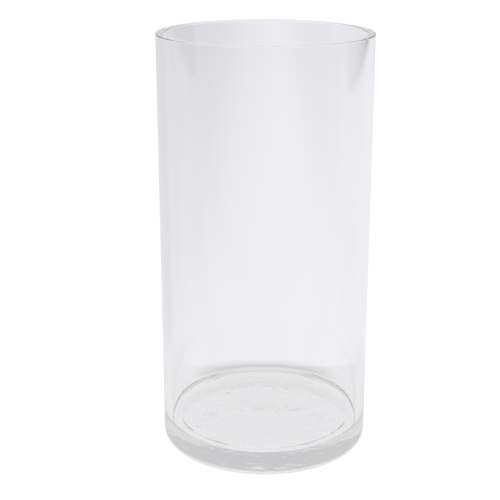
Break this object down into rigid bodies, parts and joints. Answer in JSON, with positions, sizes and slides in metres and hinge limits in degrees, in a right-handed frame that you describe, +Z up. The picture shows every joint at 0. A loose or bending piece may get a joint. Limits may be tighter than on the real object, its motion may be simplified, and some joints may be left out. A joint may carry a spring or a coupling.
{
  "type": "cylinder vase",
  "caption": "Clear glass cylinder vase, straight walled and open topped, with a polished square-cut rim, a rounded heel and a thick solid base.",
  "frame": {"origin": "centre of the foot, on the surface that the vase stands on", "axes": "+Z up along the axis of the cylinder, out of the mouth; X and Y are alike"},
  "size_m": [0.1, 0.1, 0.2],
  "materials": {
    "clear_glass": "clear, polished, faintly rippled under the base"
  },
  "bodies": {
    "root": {"vase_body": "clear_glass"}
  },
  "joints": []
}
